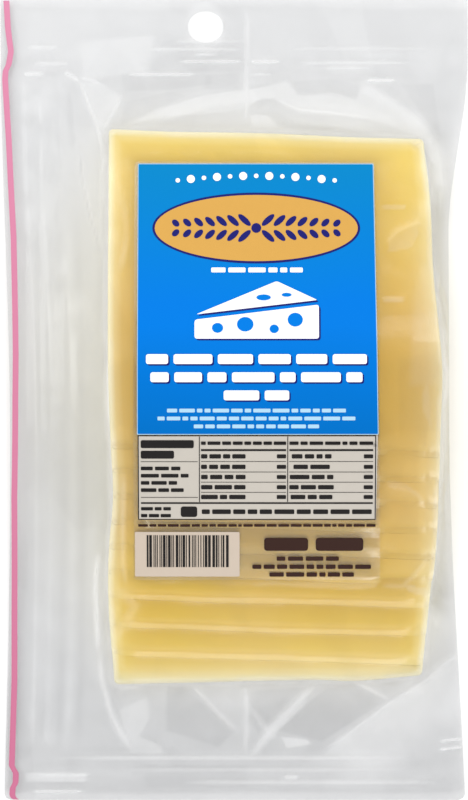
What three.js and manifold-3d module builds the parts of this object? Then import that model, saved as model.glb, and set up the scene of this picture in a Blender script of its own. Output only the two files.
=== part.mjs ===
// A retail pack of sliced cheese lying on its back, label side up.
// Ten square slices are shingled down the pack inside a clear film bag, which is sealed across its
// top and bottom, folded at its right side and closed by a press zip beside its left edge.
// Millimetres, +X to the right of the label, +Y to the top of the pack, +Z out of its front.
// The origin is on the resting plane, under the middle of the pack's bounding box.
import * as THREE from "three";
import { mergeVertices } from "three/addons/utils/BufferGeometryUtils.js";
import Module from "manifold-3d";

// The bag, laid flat
const PACK_WIDTH = 143.4;
const PACK_HEIGHT = 245.6;
const CORNER_ROUND = 2.2; // at the bottom corners
const LEFT_BOW = 3.1; // how far the full middle pulls the left edge in
const RIGHT_BOW = 6.0;
const SHEET = 0.8; // the two films where they lie together, with the air between them

// The cheese
const SLICES = 10;
const SLICE_SIDE = 98;
const SLICE_THICKNESS = 2.2;
const STACK_X = 10.9; // the stack sits right of the middle, to clear the zip
const STACK_TOP = 81.6; // top edge of the front slice
const STACK_BOTTOM = -86.5; // bottom edge of the back slice
const STACK_SHIFT = 3.2; // how far the middle slices slid to the right
const SLICE_LEAN = -0.02; // slope of the slices' edges across the pack
const SLICE_STEP = (STACK_TOP - STACK_BOTTOM - SLICE_SIDE) / (SLICES - 1);
const SHARP_EDGE = 1.2; // width over which the film drops at the stack's sides and its top
const STEP_ROW = 1.1; // half the width over which a slice's bottom edge drops to the next slice
const FILM_CLEARANCE = 0.3;
const STACK_FOOT = 3; // the back film lies flat this far outside the stack's mean width

// Seals, zip and hang hole
const TOP_SEAL = [102.4, 109.6];
const BOTTOM_SEAL = [-116.9, -109.7];
const SEAL_RIBS = 3;
const SEAL_RIB_HEIGHT = 0.35;
const ZIP_RIBS = [8, 12.9, 19]; // from the bag's left edge to the middle of each rib
const ZIP_RIB_HALF_WIDTH = 0.9;
const ZIP_RIB_HEIGHT = 0.6;
const HOLE_X = -8.75;
const HOLE_Y = 114.5;
const HOLE_HALF_WIDTH = 5.5;
const HOLE_HALF_HEIGHT = 4.85;

// The label and the coloured strip, both lying on the front film
const LABEL = { left: -29.3, right: 42.4, top: 72.2, bottom: -54.4 };
const LABEL_THICKNESS = 0.35;
const STRIP_WIDTH = 1.8;
const STRIP_INSET = 1.9; // from the bag's left edge to the strip's middle
const STRIP_JOG = 0.9; // how far each seal pushes the strip sideways
const STRIP_THICKNESS = 0.3;
const LAID_GAP = 0.3; // between the front film and what lies on it

// How finely the bag is divided, and how often its stretched film is evened out
const COLUMN_PITCH = 8.5;
const ROW_PITCH = 9;
const SETTLING_SWEEPS = 700;

const clamp01 = (t) => Math.min(1, Math.max(0, t));
const ease = (t) => clamp01(t) ** 2 * (3 - 2 * clamp01(t));
const lobe = (t) => Math.cos((Math.PI / 2) * clamp01(Math.abs(t))) ** 2;

// The corners' rounding pulls the bottom ends of both side edges in.
function cornerPull(y) {
  const reach = clamp01((-PACK_HEIGHT / 2 + CORNER_ROUND - y) / CORNER_ROUND);
  return CORNER_ROUND * (1 - Math.sqrt(1 - reach * reach));
}

function leftEdge(y) {
  const deepest = -15;
  const bow = lobe((y - deepest) / (y > deepest ? 130 : 190));
  return -PACK_WIDTH / 2 + LEFT_BOW * bow + cornerPull(y);
}

function rightEdge(y) {
  const bow = y > 0 ? 1 - ease((y - 50) / 55) : lobe(y / 160);
  return PACK_WIDTH / 2 - RIGHT_BOW * bow - cornerPull(y);
}

// Height of the plane in which the two films meet, highest beside the thick middle of the stack.
function seamHeight(x, y) {
  const side = x > 0 ? 8.4 * ease((x - 20) / 45) : 4.4 * ease((-x - 20) / 30);
  const swell = side * Math.exp(-(((y + 3) / 58) ** 2));
  const droop = 1.6 * ease((-x - 56) / 16) * Math.exp(-(((y + 3) / 70) ** 2));
  const waves = 0.45 * Math.sin(x / 13 + 0.8) * Math.sin(y / 31 + 0.4);
  return 1.9 + swell - droop + waves;
}

// How much one slice lifts a point of the front film, from 0 to 1. Open edges drop sharply. A slice
// climbs over the top edge of the one below it within one step, so those steps join in one even
// slope. So do the bottom edges' steps where the stiff label spans them.
function sliceCover(index, x, y) {
  const middle = STACK_X + STACK_SHIFT * Math.exp(-(((index - 4.5) / 2) ** 2));
  const lean = index === SLICES - 1 ? -SLICE_LEAN : SLICE_LEAN;
  const top = STACK_TOP - index * SLICE_STEP + lean * (x - middle);
  const belowTop = top - y;
  const aboveBottom = y - top + SLICE_SIDE;
  const underLabel = x > LABEL.left - 2 && x < LABEL.right + 2 && y > LABEL.bottom - 2;
  const atTop = index === 0 ? ease(belowTop / SHARP_EDGE + 0.5) : clamp01(belowTop / SLICE_STEP + 1);
  const atBottom = underLabel ? clamp01(aboveBottom / SLICE_STEP + 1) : ease(aboveBottom / (2 * STEP_ROW) + 0.5);
  return ease((SLICE_SIDE / 2 - Math.abs(x - middle)) / SHARP_EDGE + 1) * atTop * atBottom;
}

const sliceNumbers = Array.from({ length: SLICES }, (_, index) => index);
const stackHeight = (x, y) =>
  SLICE_THICKNESS * sliceNumbers.reduce((sum, index) => sum + sliceCover(index, x, y), 0);
const onStack = (x, y) => sliceNumbers.some((index) => sliceCover(index, x, y) > 0.5);

// Grid lines: evenly between the given stops, so that edges that matter fall on a line.
function spaced(stops, pitch) {
  const lines = [stops[0]];
  for (const stop of stops.slice(1)) {
    const last = lines[lines.length - 1];
    const count = Math.max(1, Math.round(Math.abs(stop - last) / pitch));
    for (let k = 1; k <= count; k++) lines.push(last + ((stop - last) * k) / count);
  }
  return lines;
}

const stackLeft = STACK_X - SLICE_SIDE / 2;
const stackRight = STACK_X + SLICE_SIDE / 2;
const INNER_COLUMNS = spaced(
  [stackLeft - 5.5, stackLeft - 1, stackLeft + 1, LABEL.left, LABEL.right,
    stackRight - 1, stackRight + 2, stackRight + 4.4],
  COLUMN_PITCH,
);

// Rows at both sides of each rib of a seal band and on its crest
function ribRows([low, high]) {
  const pitch = (high - low) / SEAL_RIBS;
  return Array.from({ length: 2 * SEAL_RIBS + 1 }, (_, k) => low + (k * pitch) / 2);
}

// Rows below and above the bottom edge of each slice, apart from those that the label would split
const stepRows = sliceNumbers
  .map((index) => STACK_TOP - SLICE_SIDE - index * SLICE_STEP)
  .flatMap((edge) => [edge - STEP_ROW, edge + STEP_ROW])
  .filter((y) => Math.abs(y - LABEL.bottom) > 2);
const ROWS = spaced(
  [-PACK_HEIGHT / 2, -PACK_HEIGHT / 2 + 0.5 * CORNER_ROUND, -PACK_HEIGHT / 2 + CORNER_ROUND,
    ...ribRows(BOTTOM_SEAL), ...stepRows, LABEL.bottom, LABEL.top, STACK_TOP - 1, STACK_TOP + 1,
    ...ribRows(TOP_SEAL), PACK_HEIGHT / 2]
    .sort((a, b) => a - b),
  ROW_PITCH,
);

// Middle of the coloured strip, which jogs sideways where it crosses each seal
function stripMiddle(y) {
  return leftEdge(y) + STRIP_INSET + STRIP_JOG * (lobe((y - 105) / 9) + lobe((y + 114) / 7));
}

// The bag's columns: its left edge, both sides of the strip, three for each rib of the zip, which
// follow the left edge, the straight lines, and its right edge.
const STRIP_COLUMNS = [1, 2];
const ZIP_COLUMNS = ZIP_RIBS.flatMap((rib) => [rib - ZIP_RIB_HALF_WIDTH, rib, rib + ZIP_RIB_HALF_WIDTH]);
const FIRST_INNER = 3 + ZIP_COLUMNS.length;
const COLUMN_COUNT = FIRST_INNER + INNER_COLUMNS.length + 1;
const zipEnd = (y) => leftEdge(y) + ZIP_COLUMNS[ZIP_COLUMNS.length - 1];

function columnX(column, y) {
  if (column === 0) return leftEdge(y);
  if (column <= STRIP_COLUMNS[1]) return stripMiddle(y) + (column - 1.5) * STRIP_WIDTH;
  if (column < FIRST_INNER) return leftEdge(y) + ZIP_COLUMNS[column - 3];
  return column < COLUMN_COUNT - 1 ? INNER_COLUMNS[column - FIRST_INNER] : rightEdge(y);
}

const inSeal = (y) => y > TOP_SEAL[0] - 0.01 || y < BOTTOM_SEAL[1] + 0.01;

// One value for each grid point of the bag
const overGrid = (value) =>
  ROWS.map((y) => Array.from({ length: COLUMN_COUNT }, (_, column) => value(columnX(column, y), y)));

// A film is a stretched skin. Each free point settles at the mean of its neighbours, weighted by
// how near they are, and stays at or above its floor. What the seals and the zip hold stays put,
// and what clings lies on its floor.
function stretchedFilm(floor, clings) {
  const z = overGrid((x, y) => (clings(x, y) ? floor(x, y) : Math.max(floor(x, y), seamHeight(x, y))));
  const x = overGrid((at) => at);
  const held = overGrid(
    (at, y) => inSeal(y) || at < zipEnd(y) + 0.01 || clings(at, y),
  );
  const lowest = overGrid(floor);
  for (let sweep = 0; sweep < SETTLING_SWEEPS; sweep++) {
    for (let r = 1; r < ROWS.length - 1; r++) {
      for (let c = 1; c < COLUMN_COUNT - 1; c++) {
        if (held[r][c]) continue;
        const west = x[r][c] - x[r][c - 1];
        const east = x[r][c + 1] - x[r][c];
        const south = ROWS[r] - ROWS[r - 1];
        const north = ROWS[r + 1] - ROWS[r];
        const along = 1 / west + 1 / east;
        const up = 1 / south + 1 / north;
        const tall = (south + north) / 2;
        const wide = (west + east) / 2;
        const sideways = z[r][c - 1] / west + z[r][c + 1] / east;
        const upward = z[r - 1][c] / south + z[r + 1][c] / north;
        const mean = (tall * sideways + wide * upward) / (tall * along + wide * up);
        z[r][c] = Math.max(mean, lowest[r][c]);
      }
    }
  }
  return z;
}

function ribRelief(x, y) {
  const zip = ZIP_RIBS.some((rib) => Math.abs(x - leftEdge(y) - rib) < 0.1 * ZIP_RIB_HALF_WIDTH);
  if (!inSeal(y)) return zip ? ZIP_RIB_HEIGHT : 0;
  for (const [low, high] of [TOP_SEAL, BOTTOM_SEAL]) {
    const phase = ((y - low) / (high - low)) * SEAL_RIBS;
    if (phase > 0.1 && phase < SEAL_RIBS - 0.1 && Math.abs(phase - Math.round(phase)) > 0.4) {
      return SEAL_RIB_HEIGHT;
    }
  }
  return 0;
}

const underStack = (x, y) =>
  x > stackLeft - 0.5 && x < stackRight + STACK_FOOT && y > STACK_BOTTOM - 0.5 && y < STACK_TOP + 0.5;
const frontFilm = stretchedFilm((x, y) => stackHeight(x, y) + FILM_CLEARANCE, onStack);
const backFilm = stretchedFilm(() => 0, underStack);

function bagPoint(column, row, front) {
  const y = ROWS[row];
  const x = columnX(column, y);
  const [top, bottom] = [frontFilm[row][column], backFilm[row][column]];
  const padding = Math.max(0, SHEET - (top - bottom)) / 2 + ribRelief(x, y);
  return [x, y, front ? top + padding : Math.max(0, bottom - padding)];
}

// A box of thin cells, one for each pair of grid lines, whose corners are moved to where they lie.
function drapedBox(columns, rows, place) {
  const box = new THREE.BoxGeometry(columns, rows, 1, columns, rows, 1);
  const corners = box.getAttribute("position");
  for (let k = 0; k < corners.count; k++) {
    const column = Math.round(corners.getX(k) + columns / 2);
    const row = Math.round(corners.getY(k) + rows / 2);
    corners.setXYZ(k, ...place(column, row, corners.getZ(k) > 0));
  }
  box.deleteAttribute("normal");
  box.deleteAttribute("uv");
  return mergeVertices(box, 1e-4);
}

const wasm = await Module();
wasm.setup();

function toSolid(geometry) {
  return new wasm.Manifold(
    new wasm.Mesh({
      numProp: 3,
      vertProperties: geometry.getAttribute("position").array,
      triVerts: new Uint32Array(geometry.index.array),
    }),
  );
}

function toGeometry(solid) {
  const mesh = solid.getMesh();
  const points = new Float32Array(mesh.numVert * 3);
  for (let k = 0; k < mesh.numVert; k++) {
    points.set(mesh.vertProperties.subarray(k * mesh.numProp, k * mesh.numProp + 3), k * 3);
  }
  const geometry = new THREE.BufferGeometry();
  geometry.setAttribute("position", new THREE.BufferAttribute(points, 3));
  geometry.setIndex(new THREE.BufferAttribute(mesh.triVerts, 1));
  return geometry;
}

function makeBag() {
  const body = drapedBox(COLUMN_COUNT - 1, ROWS.length - 1, bagPoint);
  const punch = new THREE.CylinderGeometry(1, 1, 20, 28);
  punch.rotateX(Math.PI / 2);
  punch.scale(HOLE_HALF_WIDTH, HOLE_HALF_HEIGHT, 1);
  punch.translate(HOLE_X, HOLE_Y, 0);
  punch.deleteAttribute("normal");
  punch.deleteAttribute("uv");
  const film = new THREE.MeshStandardMaterial({ color: 0xe9d79c, roughness: 0.25, metalness: 0 });
  const hole = toSolid(mergeVertices(punch, 1e-4));
  return new THREE.Mesh(toGeometry(toSolid(body).subtract(hole)), film);
}

// A skin on the bag's own grid lines, so that it lies parallel to the front film.
function laidSkin(columns, rows, thickness) {
  return drapedBox(columns.length - 1, rows.length - 1, (column, row, front) => {
    const [x, y, z] = bagPoint(columns[column], rows[row], true);
    return [x, y, z + LAID_GAP + (front ? thickness : 0)];
  });
}

function makeLabel() {
  const within = (value, low, high) => value > low - 0.01 && value < high + 0.01;
  const columns = INNER_COLUMNS.flatMap((x, c) => (within(x, LABEL.left, LABEL.right) ? [c + FIRST_INNER] : []));
  const rows = ROWS.flatMap((y, r) => (within(y, LABEL.bottom, LABEL.top) ? [r] : []));
  const blue = new THREE.MeshStandardMaterial({ color: 0x0f82d6, roughness: 0.3, metalness: 0 });
  return new THREE.Mesh(laidSkin(columns, rows, LABEL_THICKNESS), blue);
}

function makeStrip() {
  const rows = ROWS.flatMap((y, r) => (y > -PACK_HEIGHT / 2 + 0.9 * CORNER_ROUND ? [r] : []));
  const pink = new THREE.MeshStandardMaterial({ color: 0xd9829f, roughness: 0.35, metalness: 0 });
  return new THREE.Mesh(laidSkin(STRIP_COLUMNS, rows, STRIP_THICKNESS), pink);
}

const pack = new THREE.Group();
for (const [name, mesh] of [["bag", makeBag()], ["label", makeLabel()], ["colour_strip", makeStrip()]]) {
  mesh.name = name;
  pack.add(mesh);
}
export default pack;
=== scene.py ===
# %% [markdown]
# A pack of sliced cheese: ten pale yellow slices, shingled down a clear film bag, with a printed label.
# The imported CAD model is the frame. It gives the bag's true form, and everything here is fitted to it.
# All sizes below are in millimetres, in the frame's own axes: +X to the right of the label, +Y to the
# hang hole, +Z out of the front. Each mesh is scaled to metres once, when it becomes an object.

# %% Frame
import math
import random

import bmesh
import bpy
import numpy as np
from mathutils import Matrix, Vector, noise
from mathutils.bvhtree import BVHTree


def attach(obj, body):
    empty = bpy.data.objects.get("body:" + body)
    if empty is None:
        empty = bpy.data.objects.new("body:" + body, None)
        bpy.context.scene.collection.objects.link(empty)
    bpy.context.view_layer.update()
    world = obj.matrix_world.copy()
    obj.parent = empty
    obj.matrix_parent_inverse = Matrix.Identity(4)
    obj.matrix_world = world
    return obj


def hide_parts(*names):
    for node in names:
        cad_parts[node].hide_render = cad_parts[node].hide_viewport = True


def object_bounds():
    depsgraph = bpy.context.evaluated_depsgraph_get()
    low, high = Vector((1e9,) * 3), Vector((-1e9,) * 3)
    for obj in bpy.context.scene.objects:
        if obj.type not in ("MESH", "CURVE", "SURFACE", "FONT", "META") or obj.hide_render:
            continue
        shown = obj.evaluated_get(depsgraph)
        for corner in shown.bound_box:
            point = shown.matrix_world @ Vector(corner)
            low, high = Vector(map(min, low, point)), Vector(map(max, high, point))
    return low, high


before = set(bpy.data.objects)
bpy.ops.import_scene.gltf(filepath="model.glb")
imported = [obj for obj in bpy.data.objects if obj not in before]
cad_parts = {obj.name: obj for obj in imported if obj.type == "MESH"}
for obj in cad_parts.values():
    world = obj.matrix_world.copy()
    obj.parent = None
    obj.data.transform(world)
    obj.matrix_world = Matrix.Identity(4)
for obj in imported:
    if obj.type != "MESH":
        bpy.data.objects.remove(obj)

MM = 0.001
cad_box = [list(corner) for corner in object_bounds()]
print("CAD box in metres:", [[round(v, 4) for v in corner] for corner in cad_box])

# %% [markdown]
# The camera looks straight down, because the photo shows the standing pack from the front and here the
# pack lies on its back. A long lens from far away keeps the pack's sides as parallel as they look there.
# The frame is as tall as the pack, so the lens follows from the camera's distance.

# %% Camera
CAMERA_HEIGHT = 1.6
RIM_HEIGHT = 0.002  # the lens is set for the plane in which the bag's rim lies
SENSOR = 36.0
pack_length = cad_box[1][1] - cad_box[0][1]
camera = bpy.data.objects.new("camera", bpy.data.cameras.new("camera"))
bpy.context.scene.collection.objects.link(camera)
camera.data.sensor_width = SENSOR
camera.data.lens = SENSOR * CAMERA_HEIGHT / pack_length
camera.data.clip_end = 10.0
camera.location = (0.0, 0.0, CAMERA_HEIGHT + RIM_HEIGHT)
bpy.context.scene.camera = camera
print("lens", round(camera.data.lens, 1), "mm")

# %% [markdown]
# Small helpers. Shapes are drawn with bmesh operators in millimetres. `in_scene` scales the mesh to
# metres and makes it an object, and `as_piece` also lets it ride on the one rigid body of the part.

# %% Helpers
def ease(t):
    """From 0 to 1 with a soft start and a soft end."""
    t = np.clip(t, 0.0, 1.0)
    return t * t * (3.0 - 2.0 * t)


def in_scene(bm, name, material, smooth=False):
    bmesh.ops.transform(bm, matrix=Matrix.Scale(MM, 4), verts=bm.verts)
    mesh = bpy.data.meshes.new(name)
    bm.to_mesh(mesh)
    bm.free()
    mesh.polygons.foreach_set("use_smooth", [smooth] * len(mesh.polygons))
    mesh.materials.append(material)
    made = bpy.data.objects.new(name, mesh)
    bpy.context.scene.collection.objects.link(made)
    return made


def as_piece(bm, name, material, smooth=True):
    piece = in_scene(bm, name, material, smooth)
    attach(piece, "root")
    return piece


def places(bm):
    """The bmesh's vertices as an array of x, y and z."""
    return np.array([v.co for v in bm.verts], float).reshape(-1, 3)


def flat_places(verts):
    """The x and the y of these vertices, as two arrays."""
    return np.array([vert.co[:2] for vert in verts]).T


def add_attribute(bm, name, values):
    layer = bm.verts.layers.float.new(name)
    for vert, value in zip(bm.verts, values):
        vert[layer] = float(value)


def cut_in_cells(bm, xs, ys):
    """Cuts a flat shape along lines, so that it can bend there."""
    for normal, marks in (((1, 0, 0), xs), ((0, 1, 0), ys)):
        for mark in marks:
            spot = tuple(mark * n for n in normal)
            bmesh.ops.bisect_plane(bm, geom=bm.verts[:] + bm.edges[:] + bm.faces[:],
                                   dist=1e-5, plane_co=spot, plane_no=normal)

# %% [markdown]
# The bag's front and back are read from the CAD solid once, as height maps on a fine grid: a ray goes
# down on each grid point and another comes up from below. A map can be smoothed, limited and sampled
# anywhere, which makes it the one surface that film, label and print all follow.

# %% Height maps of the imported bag
PITCH = 0.8
map_x = np.arange(-72.0, 72.01, PITCH)
map_y = np.arange(-123.2, 123.21, PITCH)
MAP_X, MAP_Y = np.meshgrid(map_x, map_y)


def surface_tree(piece):
    corners = [v.co / MM for v in piece.data.vertices]
    return BVHTree.FromPolygons(corners, [tuple(p.vertices) for p in piece.data.polygons])


def cast_map(trees, downwards):
    """Height of the first surface met at each grid point, or nan where there is none."""
    start, way = (60.0, Vector((0, 0, -1))) if downwards else (-60.0, Vector((0, 0, 1)))
    heights = np.full(MAP_X.shape, np.nan)
    for (r, c), x in np.ndenumerate(MAP_X):
        for tree in trees:
            hit = tree.ray_cast(Vector((x, MAP_Y[r, c], start)), way)[0]
            if hit is not None:
                heights[r, c] = hit.z if np.isnan(heights[r, c]) else max(heights[r, c], hit.z)
    return heights


def neighbours(field):
    padded = np.pad(field, 1, mode="edge")
    rows, cols = field.shape
    return [padded[1 + dr:1 + dr + rows, 1 + dc:1 + dc + cols]
            for dr in (-1, 0, 1) for dc in (-1, 0, 1)]


def filled(field):
    """Spreads known heights into the gaps, such as the hang hole."""
    field = field.copy()
    while np.isnan(field).any():
        around = np.array(neighbours(field))
        known = ~np.isnan(around)
        mean = np.where(known, around, 0).sum(0) / np.maximum(known.sum(0), 1)
        field = np.where(np.isnan(field) & known.any(0), mean, field)
    return field


def smoothed(field, times, floor=None):
    """Evens a map out, as a stretched film does, while it stays on or above its floor."""
    for _ in range(times):
        field = np.mean(neighbours(field), axis=0)
        if floor is not None:
            field = np.maximum(field, floor)
    return field


def sample(field, x, y):
    """The map's height at any place, evenly between its grid points."""
    u = np.clip((np.asarray(x) - map_x[0]) / PITCH, 0, len(map_x) - 1.001)
    v = np.clip((np.asarray(y) - map_y[0]) / PITCH, 0, len(map_y) - 1.001)
    c, r = u.astype(int), v.astype(int)
    s, t = u - c, v - r
    low = field[r, c] * (1 - s) + field[r, c + 1] * s
    high = field[r + 1, c] * (1 - s) + field[r + 1, c + 1] * s
    return low * (1 - t) + high * t


bag_tree = surface_tree(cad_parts["bag"])
cad_front = filled(cast_map([bag_tree], True))
cad_back = filled(cast_map([bag_tree], False))
print("bag front from", round(cad_front.min(), 2), "to", round(cad_front.max(), 2), "mm")

# %% [markdown]
# The outline of the bag: its full middle pulls both side edges in, and the two bottom corners are
# rounded. These are the same formulas that shape the CAD solid, with the same named sizes.

# %% Outline of the bag
PACK_WIDTH, PACK_HEIGHT = 143.4, 245.6
CORNER_ROUND = 2.2
LEFT_BOW, RIGHT_BOW = 3.1, 6.0
BOW_MIDDLE = -15.0  # the left edge is pulled in furthest here
HOLE_X, HOLE_Y = -8.75, 114.5
HOLE_HALF_WIDTH, HOLE_HALF_HEIGHT = 5.5, 4.85


def lobe(t):
    return np.cos(np.pi / 2 * np.clip(np.abs(t), 0, 1)) ** 2


def corner_pull(y):
    reach = np.clip((-PACK_HEIGHT / 2 + CORNER_ROUND - y) / CORNER_ROUND, 0, 1)
    return CORNER_ROUND * (1 - np.sqrt(1 - reach * reach))


def left_edge(y):
    reach = np.where(y > BOW_MIDDLE, 130.0, 190.0)
    return -PACK_WIDTH / 2 + LEFT_BOW * lobe((y - BOW_MIDDLE) / reach) + corner_pull(y)


def right_edge(y):
    bow = np.where(y > 0, 1 - ease((y - 50) / 55), lobe(y / 160))
    return PACK_WIDTH / 2 - RIGHT_BOW * bow - corner_pull(y)


def rim_distance(x, y):
    """How far inside the bag's rim a place lies."""
    from_side = np.minimum(x - left_edge(y), right_edge(y) - x)
    return np.minimum(from_side, PACK_HEIGHT / 2 - np.abs(y))

# %% [markdown]
# Materials come from one short function that adds a node and sets its inputs, so that each finish below
# reads as a recipe. All patterns use Object coordinates or an attribute of the piece itself.

# %% Material helpers
class Finish:
    """A new material whose nodes are added and joined by name."""

    def __init__(self, name):
        self.material = bpy.data.materials.new(name)
        self.material.use_nodes = True
        self.tree = self.material.node_tree
        self.tree.nodes.clear()
        self.output = self.tree.nodes.new("ShaderNodeOutputMaterial")

    def add(self, kind, settings=None, **inputs):
        node = self.tree.nodes.new("ShaderNode" + kind)
        for key, value in (settings or {}).items():
            setattr(node, key, value)
        for key, value in inputs.items():
            socket = node.inputs[int(key[1:])] if key[0] == "i" and key[1:].isdigit() \
                else node.inputs[key.replace("_", " ")]
            if isinstance(value, bpy.types.NodeSocket):
                self.tree.links.new(value, socket)
            else:
                socket.default_value = value
        return node

    def shade(self, shader):
        self.tree.links.new(shader.outputs[0], self.output.inputs["Surface"])
        return self.material

    def noise(self, scale, detail=3.0, stretch=(1, 1, 1), roughness=0.5):
        place = self.add("TexCoord").outputs["Object"]
        mapped = self.add("Mapping", Vector=place, Scale=stretch).outputs[0]
        return self.add("TexNoise", Vector=mapped, Scale=scale, Detail=detail,
                        Roughness=roughness).outputs["Fac"]

    def span(self, value, low, high, out_low, out_high):
        return self.add("MapRange", Value=value, From_Min=low, From_Max=high, To_Min=out_low,
                        To_Max=out_high).outputs["Result"]

    def mix(self, factor, a, b):
        node = self.add("Mix", {"data_type": "RGBA"})
        for index, value in ((0, factor), (6, a), (7, b)):
            if isinstance(value, bpy.types.NodeSocket):
                self.tree.links.new(value, node.inputs[index])
            else:
                node.inputs[index].default_value = value
        return node.outputs[2]

    def maths(self, operation, a, b):
        return self.add("Math", {"operation": operation}, i0=a, i1=b).outputs[0]

    def up_the_pack(self):
        """The place along the pack's length, in metres."""
        place = self.add("TexCoord").outputs["Object"]
        return self.add("SeparateXYZ", Vector=place).outputs["Y"]

    def blend(self, share, below, above):
        """Two shaders mixed, with that share of the second one."""
        return self.add("MixShader", i0=share, i1=below.outputs[0], i2=above.outputs[0])

    def paint(self, tone, roughness, shine):
        """Ends the finish as a plain paint."""
        return self.shade(self.add("BsdfPrincipled", Base_Color=tone, Roughness=roughness,
                                   Specular_IOR_Level=shine))

    def attribute(self, name):
        return self.add("Attribute", {"attribute_name": name}).outputs["Fac"]

    def bump(self, height, strength, distance):
        return self.add("Bump", Height=height, Strength=strength, Distance=distance).outputs[0]


def colour(red, green, blue):
    """An sRGB colour, 0 to 255 each, as the linear values that shaders take."""
    def linear(value):
        value /= 255
        return value / 12.92 if value <= 0.04045 else ((value + 0.055) / 1.055) ** 2.4
    return (linear(red), linear(green), linear(blue), 1.0)

# %% [markdown]
# Cheese. A cut slice is matte and slightly translucent. Where one slice lies alone over the white
# ground, light comes through it from below and it looks light yellow, and where many lie on each other
# it is a deeper gold. Open edges glow pale cream, where light enters from the side. Subsurface
# scattering can't be steered that finely, so each slice also carries four attributes, which paint this
# light and shade into its colour: `depth` is how many slices lie there, from 0 to 1 for all ten, and
# sets the painted light from below; `edge_glow` is 1 at the stack's outline, where the painted glow
# lies; `lip_highlight` is 1 at the slice's own lower edge, where a painted highlight lies; and `lee` is
# 1 where a lip or the label keeps the light out, which is painted shade.

# %% Cheese finish
def cheese_finish():
    finish = Finish("cheese")
    cloud = finish.noise(45.0, 3.0)
    fine = finish.noise(420.0, 4.0)
    mottle = finish.span(cloud, 0.3, 0.7, -0.07, 0.07)
    cloudy = finish.maths("ADD", finish.attribute("depth"), mottle)
    # Painted light from below: light yellow where few slices lie over the white ground, deeper gold where
    # many do.
    deep = finish.span(cloudy, 0.1, 0.75, 0.0, 1.0)
    golden = finish.mix(deep, colour(236, 206, 74), colour(220, 180, 68))
    # A painted highlight along each slice's lower edge.
    lip_highlight = finish.maths("MULTIPLY", finish.attribute("lip_highlight"), 0.6)
    lighter = finish.mix(lip_highlight, golden, colour(230, 198, 108))
    shaded = finish.mix(finish.attribute("lee"), lighter, colour(186, 150, 66))
    # A painted glow at the stack's outline, where light enters the cheese from the side.
    pale = finish.mix(finish.attribute("edge_glow"), shaded, colour(252, 244, 204))
    grain = finish.bump(fine, 0.12, 0.0004)
    shader = finish.add("BsdfPrincipled", Base_Color=pale, Roughness=0.48, Normal=grain,
                        Subsurface_Weight=0.08, Subsurface_Radius=(0.004, 0.003, 0.0012),
                        Subsurface_Scale=0.6, Specular_IOR_Level=0.3)
    return finish.shade(shader)


cheese = cheese_finish()

# %% [markdown]
# The ten slices are shingled like fallen books. The front slice reaches highest, and each one behind it
# sits a step lower, so that only a lip of it shows. A slice is soft, so it climbs over the top edges of
# those below it in one even slope: its height is its own level plus a share of each slice underneath.
# The stack's sides aren't quite straight. A few places along each side give its line.

# %% How the slices lie
SLICES = 10
SLICE_SIDE, SLICE_THICKNESS = 98.0, 2.18
STACK_X, STACK_TOP, STACK_BOTTOM = 10.9, 81.6, -86.5
OUTLINE_ROWS = (-86, -77, -61, -46, -30, -10, 8, 24, 40, 61, 70, 82)
STACK_LEFT = (-36.6, -37.6, -38.6, -38.4, -36.6, -37.6, -38.2, -38.4, -38.4, -38.4, -38.4, -38.4)
STACK_RIGHT = (57.4, 58.4, 59.8, 61.8, 62.3, 62.6, 63.5, 62.2, 60.6, 60.3, 59.2, 57.8)
SLICE_LEAN, LAST_LEAN = -0.03, 0.02  # slopes of the slices' edges across the pack
LOW_SHIFTS = (0, 0, 0, 0, 0, 0.1, 0.4, -0.6, -1.5, 0)  # the lower edges don't lie quite evenly
STACK_REST = 0.12
SLICE_STEP = (STACK_TOP - STACK_BOTTOM - SLICE_SIDE) / (SLICES - 1)
CLIMB_START = 1.15  # a slice starts to climb this many steps away from the edge below it


def slice_top_edge(index, x):
    lean = LAST_LEAN if index == SLICES - 1 else SLICE_LEAN
    return STACK_TOP - index * SLICE_STEP + lean * (x - STACK_X)


def slice_low_edge(index, x):
    return slice_top_edge(index, x) - SLICE_SIDE + LOW_SHIFTS[index]


def side_pull(outline, y, straight):
    """How far the stack's outline lies from a straight side there, evened out along it."""
    steps = (-6, -3, 0, 3, 6)
    return np.mean([np.interp(y + step, OUTLINE_ROWS, outline) for step in steps], axis=0) - straight


def soft_ramp(t, soft=0.5):
    """Rises evenly from 0 to 1, with its two bends spread over that much at each side."""
    def area(u):
        return np.where(u > 1, u - 0.5, np.clip(u, 0, 1) ** 2 / 2)
    return (area(t + soft) - area(t - soft)) / (2 * soft)


def slice_underside(index, x, y):
    """Height of the slices below this one, which it rests on and sags over."""
    below = [soft_ramp((slice_top_edge(lower, x) - y) / SLICE_STEP + CLIMB_START)
             for lower in range(index + 1, SLICES)]
    return STACK_REST + SLICE_THICKNESS * (np.sum(below, axis=0) if below else np.zeros_like(x))


def stack_depth(x, y):
    """The share of the ten slices that lie at each place, softly."""
    return sum(soft_ramp((slice_top_edge(i, x) - y) / SLICE_STEP + 0.5)
               * soft_ramp((y - slice_low_edge(i, x)) / SLICE_STEP + 0.5)
               for i in range(SLICES)) / SLICES


print("each slice lies", round(SLICE_STEP, 2), "mm lower than the one in front of it")

# %% [markdown]
# One slice is a thin square with slightly rounded corners and softened rims. A bevelled cube gives it
# clean walls. Its faces are cut in cells so that it can bend, and it is the master slab for all ten.

# %% Master slab
SLICE_CORNER, SLICE_RIM = 1.4, 0.45
SLICE_CELL = 2.2


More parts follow.
